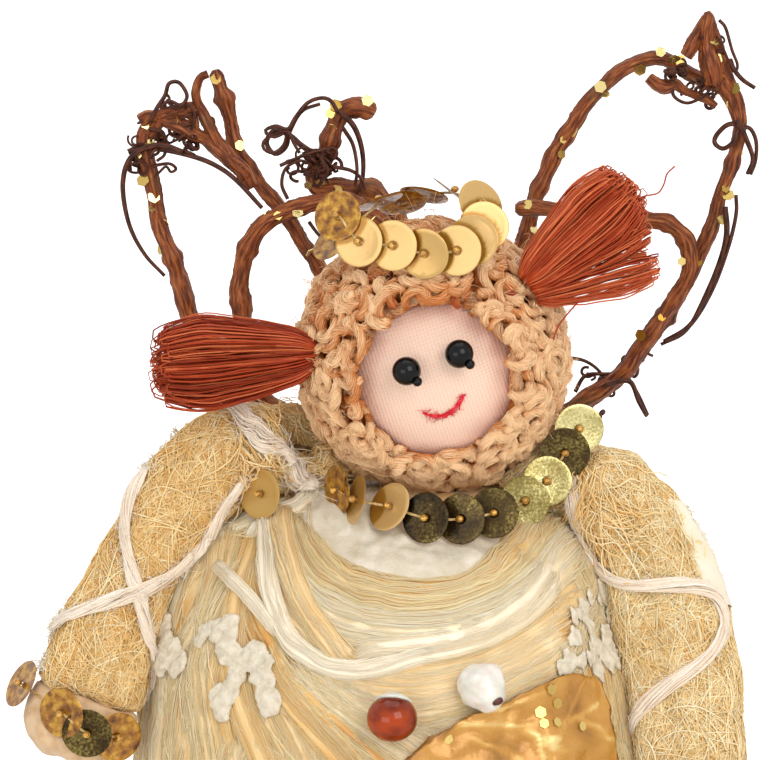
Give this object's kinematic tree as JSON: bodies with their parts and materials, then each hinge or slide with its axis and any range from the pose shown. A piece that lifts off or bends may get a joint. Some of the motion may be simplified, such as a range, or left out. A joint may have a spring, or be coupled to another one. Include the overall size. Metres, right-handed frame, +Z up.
{
  "type": "angel figurine",
  "caption": "Free-standing angel figurine: sisal gown on a foam cone, stuffed head with curly hair and pigtails, sequin crown and necklace, and bent vine wings.",
  "frame": {"origin": "centre of the underside of the base disc, on the surface that the figure stands on", "axes": "+Z up along the foam cone's axis, -Y the way the figure faces, +X towards the right side of the picture"},
  "size_m": [0.0906, 0.0814, 0.1559],
  "materials": {
    "card": "matt grey-brown card",
    "foam": "matt white expanded foam",
    "bamboo": "plain split bamboo",
    "sisal": "loose straw-coloured sisal fibre, semi-matt",
    "floss": "cream silky floss with a soft sheen",
    "sequin": "pale gold metallised film, amber on the back",
    "wire": "thin plain wire",
    "cotton": "matt off-white fibre",
    "yarn": "soft off-white spun yarn",
    "gold_leaf": "gold-brown foil with fine veins and creases, satin",
    "amber": "glossy translucent amber brown",
    "berry": "semi-gloss translucent white with a brown seed",
    "jersey": "matt pale pink knitted jersey with a faint blush",
    "curls": "tight peach-blond mohair curls with a soft sheen",
    "eye_bead": "polished black",
    "mouth_thread": "matt red thread",
    "pigtail_fibre": "rust red fibre with a slight sheen",
    "vine": "dark red-brown dried bark with gold glitter",
    "tendril": "dark brown dried tendril",
    "glue": "semi-gloss hardened hot glue"
  },
  "bodies": {
    "root": {"base_disc": "card", "foam_cone": "foam", "neck_skewer": "bamboo", "gown": "sisal", "bodice_wrap": "floss", "necklace": "sequin", "arm_wire": "wire", "sleeve_left": "sisal", "sleeve_right": "sisal", "cuff_left": "cotton", "cuff_right": "cotton", "cuff_sequins_left": "sequin", "cuff_sequins_right": "sequin", "yarn_collar": "yarn", "yarn_left_down": "yarn", "yarn_left_across": "yarn", "yarn_right": "yarn", "yarn_bodice": "yarn", "loose_sequin": "sequin", "gold_leaf": "gold_leaf", "amber_bead": "amber", "white_berry": "berry", "tuft_left": "cotton", "tuft_middle": "cotton", "tuft_right": "cotton", "head_ball": "foam", "face_cover": "jersey", "hair": "curls", "eye_left": "eye_bead", "eye_right": "eye_bead", "mouth_stitch": "mouth_thread", "crown": "sequin", "pigtail_left": "pigtail_fibre", "pigtail_right": "pigtail_fibre", "pigtail_tie_left": "pigtail_fibre", "pigtail_tie_right": "pigtail_fibre", "wing_right_loop": "vine", "wing_left_loop": "vine", "wing_right_outer": "vine", "wing_left_outer": "vine", "wing_right_inner": "vine", "wing_left_stub": "vine", "wing_left_inner": "vine", "tendril_left_hook": "tendril", "tendril_left_curl": "tendril", "tendril_left_bow": "tendril", "tendril_right_hook": "tendril", "tendril_right_bow": "tendril", "tendril_right_foot": "tendril", "wing_pad": "glue"}
  },
  "joints": []
}
